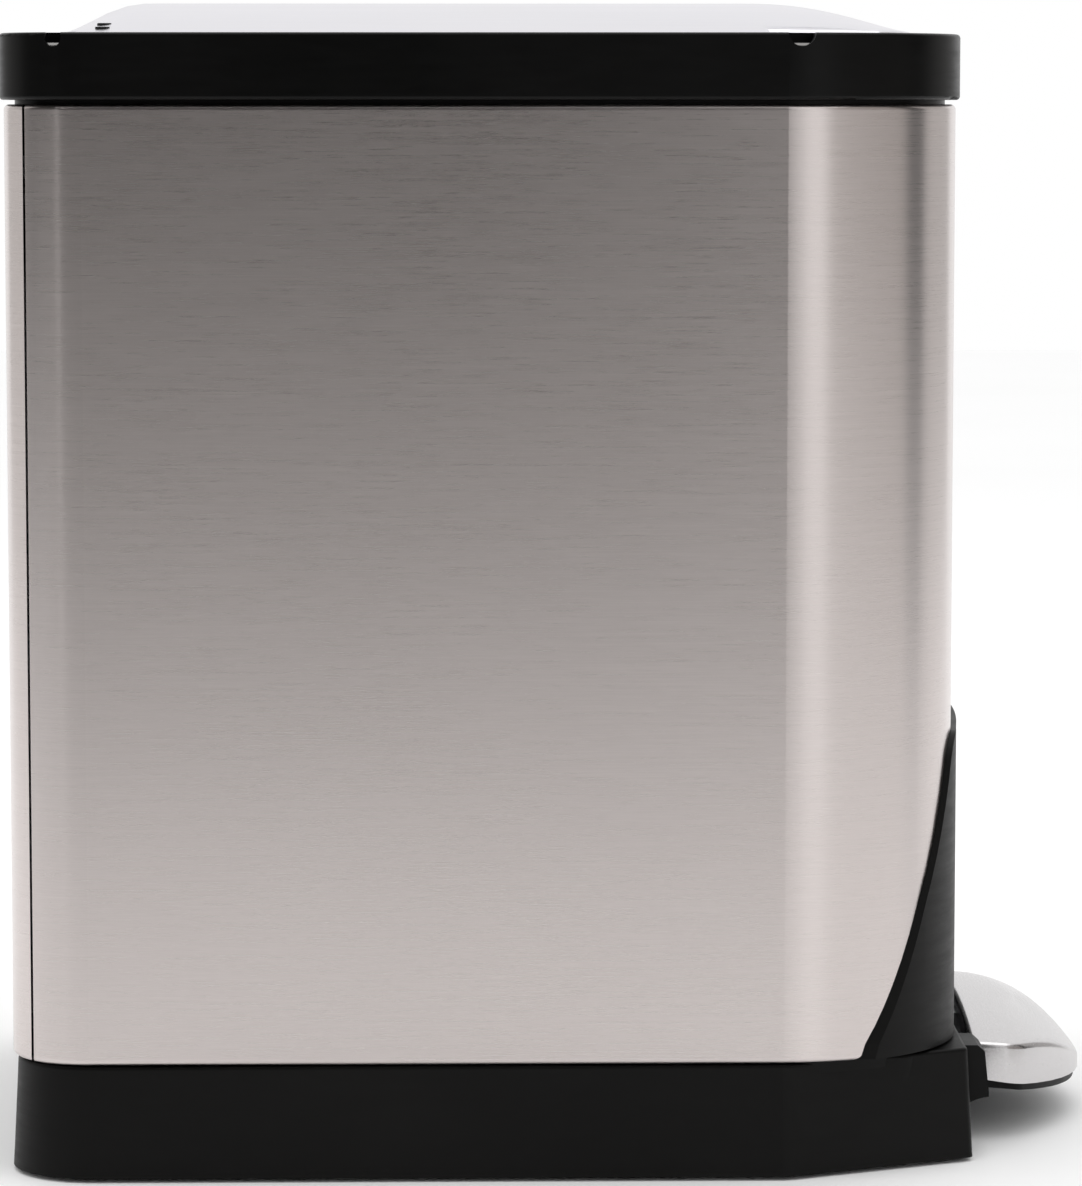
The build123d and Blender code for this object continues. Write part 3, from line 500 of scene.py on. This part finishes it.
def pedalSkin():
    half = tread["halfWidth"]
    depth = tread["backY"] - tread["shoulderY"]
    form = heightForm(
        "treadForm", (-half - 0.003, tread["noseY"] - 0.002), (half + 0.003, tread["backY"] + 0.003),
        36, 28, treadAcross, treadAlong, tread["baseZ"])
    bpy.ops.object.select_all(action="DESELECT")
    bpy.ops.mesh.primitive_plane_add(size=1, location=(0, tread["backY"] - depth / 2, 0.06))
    bpy.context.object.scale = (2 * half, depth, 1)
    skin = beginPiece("treadSkin")
    openEdit(skin, "EDGE")
    pickEdges(skin, lambda edge: max(point.co.y for point in edge.verts) < tread["shoulderY"] + 0.001)
    bpy.ops.mesh.subdivide(number_cuts=tread["bowCuts"])
    bow = tread["shoulderY"] - tread["noseY"]
    radius = (half ** 2 + bow ** 2) / (2 * bow)
    bpy.ops.mesh.select_mode(type="VERT")
    for index in range(1, tread["bowCuts"] + 1):
        x = -half + 2 * half * index / (tread["bowCuts"] + 1)
        forward = sqrt(radius ** 2 - x ** 2) - (radius - bow)
        pickPoints(skin, lambda co: abs(co.x - x) < 0.001 and co.y < tread["shoulderY"] + 0.0001)
        bpy.ops.transform.translate(value=(0, -forward, 0))
    pickPoints(skin, lambda co: abs(abs(co.x) - half) < 0.0001 and co.y < tread["shoulderY"] + 0.0005)
    bpy.ops.mesh.bevel(offset=tread["cornerOffset"], segments=6, affect="VERTICES")
    pickPoints(skin, lambda co: abs(abs(co.x) - half) < 0.0001 and co.y > tread["backY"] - 0.0005)
    bpy.ops.mesh.bevel(offset=tread["backOffset"], segments=4, affect="VERTICES")
    bpy.ops.mesh.select_mode(type="EDGE")
    pickEdges(skin, lambda edge: edge.is_boundary and edge.calc_length() > 0.05)
    bpy.ops.mesh.subdivide(number_cuts=24)
    cutInnerField(skin, tread["ring"], tread["step"], (-half, tread["noseY"]), (half, tread["backY"]))
    closeEdit()
    pressOnto(skin, form)
    dropForm(form)
    rollRim(skin, tread["skirtBottom"], tread["rimRadius"], 4)
    openEdit(skin, "FACE")
    bpy.ops.mesh.select_all(action="SELECT")
    bpy.ops.mesh.bisect(
        plane_co=(0, tread["backY"], tread["skirtBack"]),
        plane_no=(0, -tread["skirtSlope"], 1), clear_inner=True)
    cuts = (
        ((tread["slotHalf"], 0, 0), (1, 0, 0)),
        ((-tread["slotHalf"], 0, 0), (1, 0, 0)),
        ((0, 0, tread["slotTop"]), (0, 0, 1)),
    )
    for planePoint, planeNormal in cuts:
        pickFaces(skin, isBack)
        bpy.ops.mesh.bisect(plane_co=planePoint, plane_no=planeNormal)
    pickFaces(skin, lambda co, normal: (
        isBack(co, normal) and abs(co.x) < tread["slotHalf"] and co.z < tread["slotTop"]))
    bpy.ops.mesh.delete(type="FACE")
    closeEdit()
    turnOutwards(skin)
    sheetThickness(skin, tread["sheet"])
    smoothPiece(skin, 40)
    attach(skin, "pedal")
    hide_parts("pedal_tread")
    skin.data.materials.append(finishes["pedal_steel"])


pedalSkin()
print("pedal tread made")


# return spring: a coil of wire wound in the CAD spring's place

spring = {"turns": 9, "wire": 0.0006, "coilRadius": 0.0046, "sides": 12, "steps": 28, "travel": 0.02372}


def returnSpring():
    low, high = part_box("return_spring")
    middle = ((low[0] + high[0]) / 2, (low[1] + high[1]) / 2)
    wire = spring["wire"]
    pitch = (high[2] - low[2] - 2 * wire) / spring["turns"]
    bpy.ops.object.select_all(action="DESELECT")
    bpy.ops.mesh.primitive_circle_add(
        vertices=spring["sides"], radius=wire, fill_type="NGON",
        rotation=(pi / 2, 0, 0), location=(spring["coilRadius"], 0, 0))
    coil = beginPiece("springCoil")
    turn = coil.modifiers.new("turn", "SCREW")
    turn.axis = "Z"
    turn.screw_offset = pitch
    turn.angle = 2 * pi
    turn.iterations = spring["turns"]
    turn.steps = spring["steps"]
    turn.render_steps = spring["steps"]
    turn.use_normal_calculate = True
    applyModifier(coil, turn)
    openEdit(coil, "EDGE")
    pickEdges(coil, lambda edge: edge.is_boundary)
    bpy.ops.mesh.edge_face_add()
    bpy.ops.mesh.select_all(action="SELECT")
    bpy.ops.mesh.remove_doubles(threshold=0.00001)
    bpy.ops.mesh.normals_make_consistent(inside=False)
    bpy.ops.transform.translate(value=(middle[0], middle[1], low[2] + wire))
    closeEdit()
    smoothPiece(coil, 50)
    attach(coil, "can")
    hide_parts("return_spring")
    coil.data.materials.append(finishes["spring_steel"])
    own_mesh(coil)


returnSpring()
print("return spring made")


# rubber feet: a ring groove under each and a peg that plugs into the base

foot = {
    "sides": 56, "edge": 0.0006, "rib": 0.0022, "groove": 0.0007, "grooveSlope": 0.0003,
    "pegRadius": 0.0015, "pegHeight": 0.0023, "bodyHeight": 0.0039,
}


def rubberFoot(nodeName):
    low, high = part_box(nodeName)
    middle = ((low[0] + high[0]) / 2, (low[1] + high[1]) / 2)
    radius = (high[0] - low[0]) / 2
    bpy.ops.object.select_all(action="DESELECT")
    bpy.ops.mesh.primitive_cylinder_add(
        vertices=foot["sides"], radius=radius, depth=foot["bodyHeight"],
        location=(middle[0], middle[1], low[2] + foot["bodyHeight"] / 2))
    piece = beginPiece("footPad_" + nodeName.split("_", 1)[1])

    def isFloorEdge(edge):
        first, second = edge.verts
        if len(edge.link_faces) != 2 or edge.calc_face_angle() <= 1.2:
            return False
        if max(first.co.z, second.co.z) >= low[2] + 0.0001:
            return False
        return (Vector(first.co[:2]) - Vector(middle)).length > radius - 0.0001

    openEdit(piece, "FACE")
    pickFaces(piece, lambda co, normal: normal.z < -0.9)
    bpy.ops.mesh.inset(thickness=foot["rib"], depth=0)
    bpy.ops.mesh.inset(thickness=foot["grooveSlope"], depth=-foot["groove"])
    bpy.ops.mesh.inset(thickness=foot["rib"] * 0.7, depth=0)
    bpy.ops.mesh.inset(thickness=foot["grooveSlope"], depth=foot["groove"])
    pickFaces(piece, lambda co, normal: normal.z > 0.9 and co.z > low[2] + foot["bodyHeight"] - 0.0001)
    bpy.ops.mesh.inset(thickness=radius - foot["pegRadius"], depth=0)
    bpy.ops.mesh.extrude_region_move(TRANSFORM_OT_translate={"value": (0, 0, foot["pegHeight"])})
    bpy.ops.mesh.select_mode(type="EDGE")
    pickEdges(piece, isFloorEdge)
    bpy.ops.mesh.bevel(offset=foot["edge"], segments=3, affect="EDGES")
    closeEdit()
    smoothPiece(piece, 35)
    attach(piece, "can")
    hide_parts(nodeName)
    piece.data.materials.append(finishes["rubber"])


for footName in ("foot_front_left", "foot_front_right", "foot_rear_left", "foot_rear_right"):
    rubberFoot(footName)
print("rubber feet made")


# room, light and camera

room = {
    "floorSize": 9.0, "floorColour": (0.985, 0.985, 0.985), "floorShade": 0.985,
    "worldColour": (1.0, 1.0, 1.0), "worldStrength": 1.0,
}

bpy.ops.object.select_all(action="DESELECT")
bpy.ops.mesh.primitive_plane_add(size=room["floorSize"], location=(0, 0, -0.0002))
studioFloor = bpy.context.object
studioFloor.name = "studioFloor"
floorPaint, floorTree, floorShader = newMaterial("floorPaint")
floorCloud = noiseLayer(floorTree, objectPattern(floorTree, (3, 3, 3)), 1.0, 2.0, 0.5)
floorDark = tuple(room["floorShade"] * c for c in room["floorColour"])
floorTone = mixColours(
    floorTree, remap(floorTree, floorCloud, 0.0, 1.0), floorDark, room["floorColour"])
floorTree.links.new(floorTone, floorShader.inputs["Base Color"])
floorShader.inputs["Roughness"].default_value = 0.9
studioFloor.data.materials.append(floorPaint)

world = bpy.data.worlds.new("studioWorld")
bpy.context.scene.world = world
world.use_nodes = True
worldShade = world.node_tree.nodes["Background"]
worldShade.inputs["Color"].default_value = (*room["worldColour"], 1)
worldShade.inputs["Strength"].default_value = room["worldStrength"]


def softbox(name, place, target, width, height, power, colour=(1, 1, 1)):
    lamp = bpy.data.lights.new(name, "AREA")
    lamp.shape = "RECTANGLE"
    lamp.size = width
    lamp.size_y = height
    lamp.energy = power
    lamp.color = colour
    lampObject = bpy.data.objects.new(name, lamp)
    bpy.context.scene.collection.objects.link(lampObject)
    lampObject.location = place
    lampObject.rotation_euler = (Vector(target) - Vector(place)).to_track_quat("-Z", "Y").to_euler()


def studioCard(name, low, high, glow):
    # a card seen only in the metal's reflections, from one corner to the opposite one
    bpy.ops.object.select_all(action="DESELECT")
    bpy.ops.mesh.primitive_plane_add(size=1)
    card = bpy.context.object
    card.name = name
    across = Vector((high[0] - low[0], high[1] - low[1], 0))
    if high[2] - low[2] < 0.01:
        card.scale = (across.x, across.y, 1)  # a card that lies on the floor
    else:
        card.scale = (across.length, high[2] - low[2], 1)
        card.rotation_euler = (pi / 2, 0, atan2(across.y, across.x))
    card.location = ((low[0] + high[0]) / 2, (low[1] + high[1]) / 2, (low[2] + high[2]) / 2)
    bpy.ops.object.transform_apply(location=True, rotation=True, scale=True)
    paint, tree, shader = newMaterial(name + "Paint")
    shader.inputs["Base Color"].default_value = (0, 0, 0, 1)
    shader.inputs["Specular IOR Level"].default_value = 0.0
    shader.inputs["Emission Color"].default_value = (*glow, 1)
    shader.inputs["Emission Strength"].default_value = 1.0
    card.data.materials.append(paint)
    card.visible_camera = False
    card.visible_diffuse = False
    card.visible_shadow = False


cards = {
    "backCard": {"low": (-2.2, -0.42, 0.0), "high": (-2.2, 1.7, 4.0), "glow": (0.020, 0.019, 0.019)},
    "floorCardFar": {"low": (-2.2, -0.42, 0.001), "high": (-1.25, 1.7, 0.001), "glow": (0.30, 0.295, 0.29)},
    "floorCardNear": {"low": (-1.25, -0.42, 0.001), "high": (-0.80, 1.7, 0.001), "glow": (0.74, 0.73, 0.72)},
    "leftCard": {"low": (-2.2, 1.8, 0.0), "high": (-0.1, 1.8, 4.0), "glow": (0.03, 0.029, 0.028)},
    "rightCard": {"low": (-3.2, -1.8, 0.0), "high": (-0.15, -1.8, 3.0), "glow": (0.34, 0.32, 0.305)},
    "leftFarCard": {"low": (-0.1, 1.8, 0.0), "high": (1.8, 1.8, 3.0), "glow": (0.60, 0.59, 0.58)},
    "rightFarCard": {"low": (0.42, -1.8, 0.0), "high": (2.2, -1.8, 3.0), "glow": (0.52, 0.51, 0.50)},
    "cornerStrip": {"low": (-0.15, -1.8, 0.0), "high": (0.42, -1.8, 3.0), "glow": (0.01, 0.01, 0.01)},
}
for cardName, card in cards.items():
    studioCard(cardName, card["low"], card["high"], card["glow"])
softbox("topSoftbox", (0.0, -0.1, 1.7), (0, 0, 0), 1.6, 1.6, 8)

view = {"place": (-1.4611, 0.0311, 0.2963), "down": 0.0984, "turn": -0.0181, "lens": 165.3}
camera = bpy.data.cameras.new("productCamera")
cameraObject = bpy.data.objects.new("productCamera", camera)
bpy.context.scene.collection.objects.link(cameraObject)
level = cos(view["down"])
aim = Vector((level * cos(view["turn"]), level * sin(view["turn"]), -sin(view["down"])))
cameraObject.location = view["place"]
cameraObject.rotation_euler = aim.to_track_quat("-Z", "Y").to_euler()
camera.sensor_fit = "HORIZONTAL"
camera.sensor_width = 36
camera.lens = view["lens"]
bpy.context.scene.camera = cameraObject
print("camera and lights in place")
